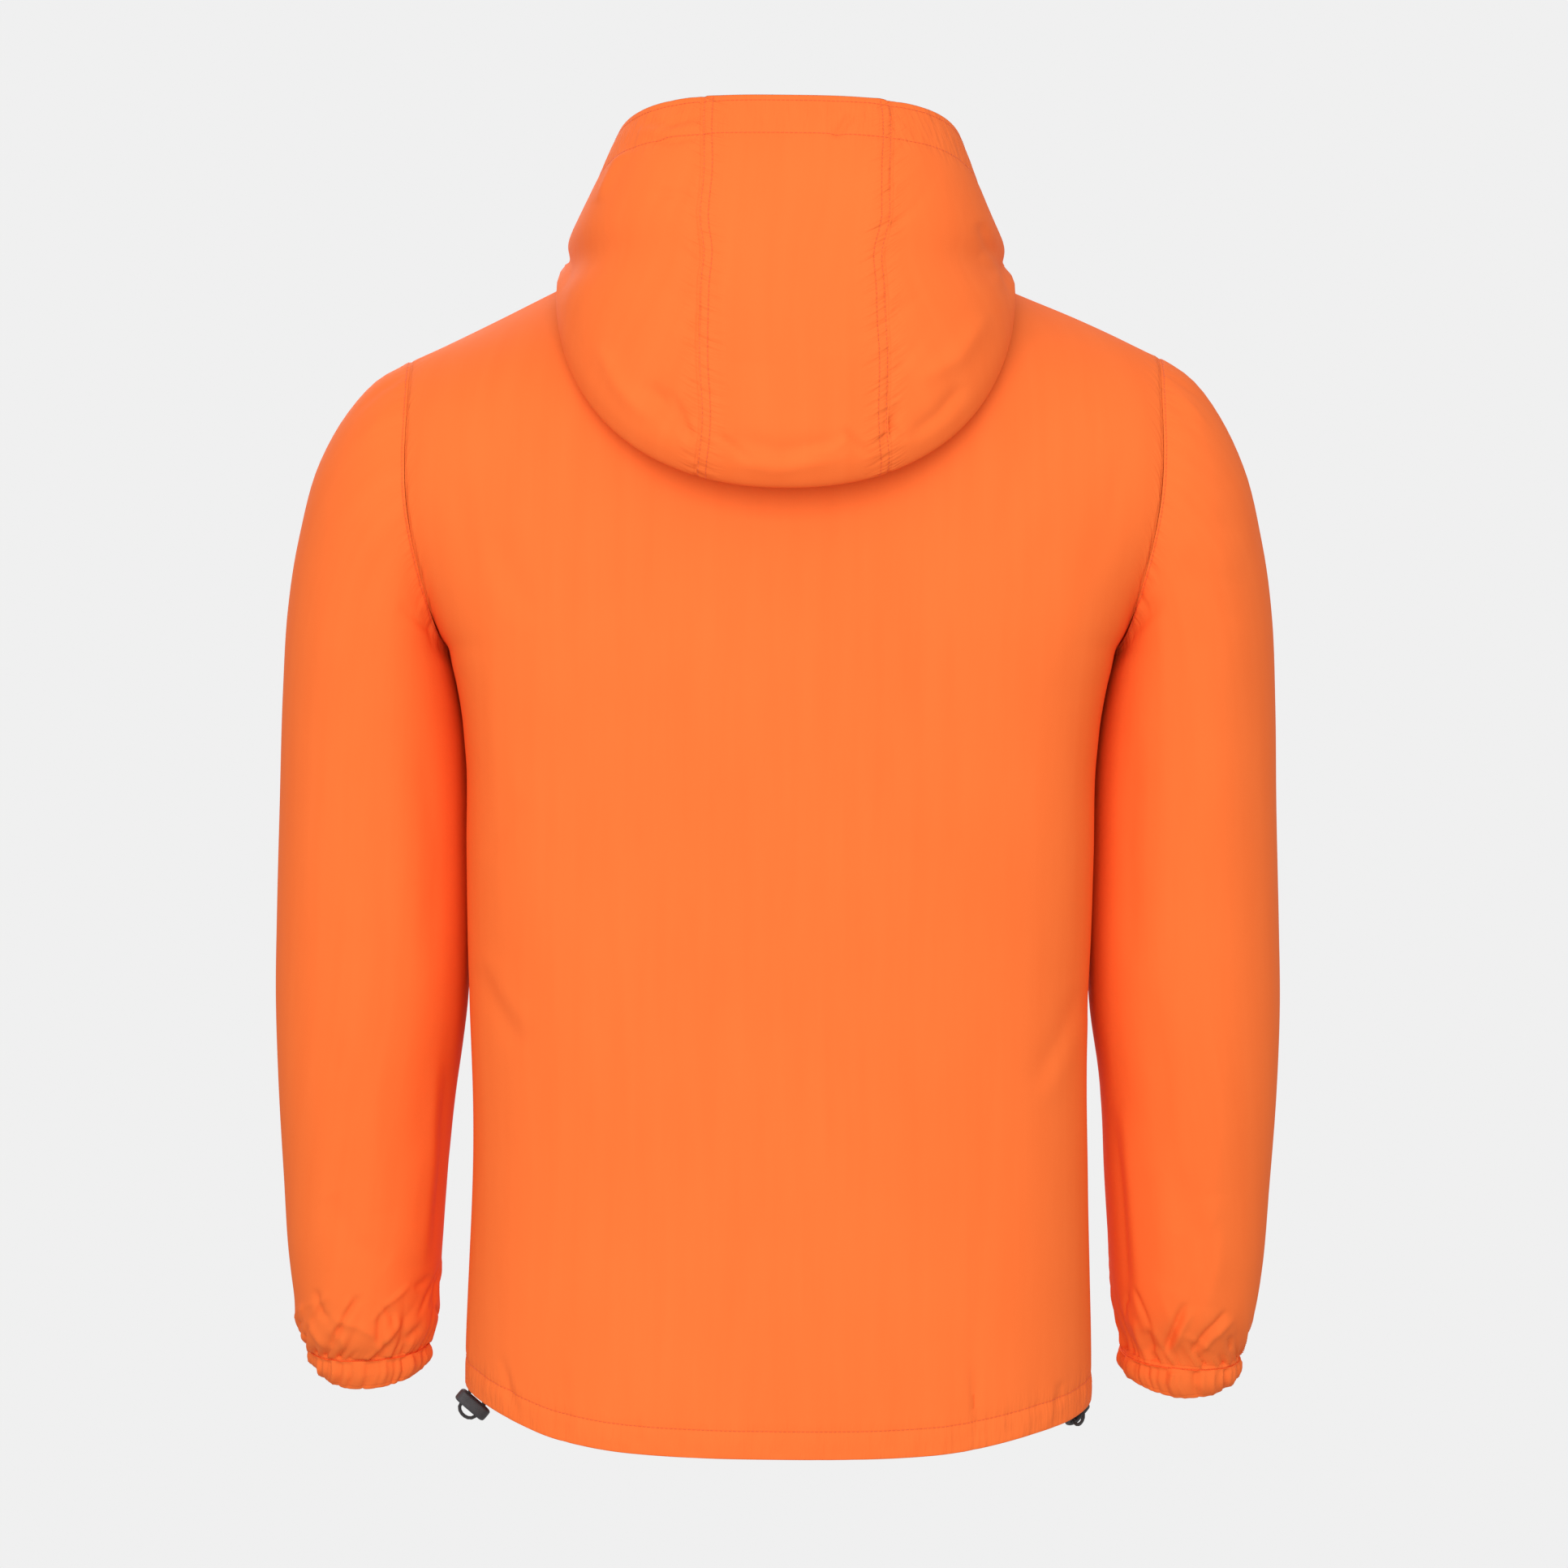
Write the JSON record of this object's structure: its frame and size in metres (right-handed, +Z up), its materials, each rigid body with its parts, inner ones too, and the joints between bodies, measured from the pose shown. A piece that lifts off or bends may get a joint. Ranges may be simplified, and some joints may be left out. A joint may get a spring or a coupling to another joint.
{
  "type": "windbreaker",
  "caption": "Hooded windbreaker of thin cloth with a full-length front zip, gathered elastic cuffs and a corded hem, filled out as worn.",
  "frame": {"origin": "centre of the neck opening, where the wearer's shoulders carry the garment, level with its neck seam's middle", "axes": "+Z up, the front faces -Y, the wearer's left is +X"},
  "size_m": [0.6248, 0.2972, 0.8045],
  "materials": {
    "shell": "thin smooth woven polyester, orange, soft sheen",
    "zip_tape": "woven tape, orange",
    "zip_chain": "dark nylon coil",
    "zip_metal": "dark enamelled metal, satin",
    "toggle": "dark soft matte plastic",
    "cord": "dark braided elastic cord"
  },
  "bodies": {
    "jacket": {"back": "shell", "front_left": "shell", "front_right": "shell", "sleeve_left": "shell", "sleeve_right": "shell", "cuff_left": "shell", "cuff_right": "shell", "hood_centre": "shell", "hood_left": "shell", "hood_right": "shell", "zip_tape_left": "zip_tape", "zip_tape_right": "zip_tape", "zip_chain": "zip_chain", "zip_slider": "zip_metal", "zip_box": "zip_metal", "toggle_left": "toggle", "toggle_right": "toggle", "hem_cord_left": "cord", "hem_cord_right": "cord"},
    "pull_tab": {"zip_pull_tab": "zip_metal"}
  },
  "joints": [
    {"name": "pull_tab_swing", "type": "hinge", "parent": "jacket", "child": "pull_tab", "pos_m": [0, -0.0911, -0.027], "axis": [-1, 0, 0], "range_deg": [0, 165]}
  ]
}
